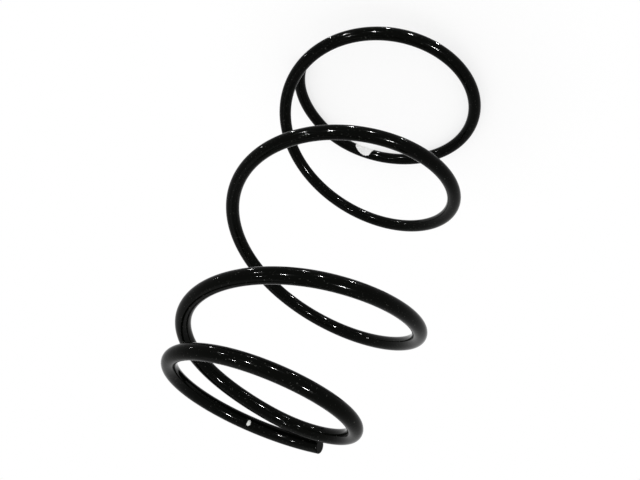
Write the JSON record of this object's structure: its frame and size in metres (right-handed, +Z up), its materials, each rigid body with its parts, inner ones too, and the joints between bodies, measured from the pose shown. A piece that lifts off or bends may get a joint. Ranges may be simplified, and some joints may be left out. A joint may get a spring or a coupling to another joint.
{
  "type": "helical spring",
  "caption": "Helical compression spring of round wire in gloss black paint, with a flat lower end, a closed and necked upper end and square-cut tips.",
  "frame": {"origin": "on the spring's axis, in the plane that its lower end stands on", "axes": "+Z up along the spring's axis, from the wide lower end to the necked upper end"},
  "size_m": [0.1915, 0.1914, 0.336],
  "materials": {
    "gloss_black_paint": "gloss"
  },
  "bodies": {
    "root": {"coil_spring": "gloss_black_paint"}
  },
  "joints": []
}
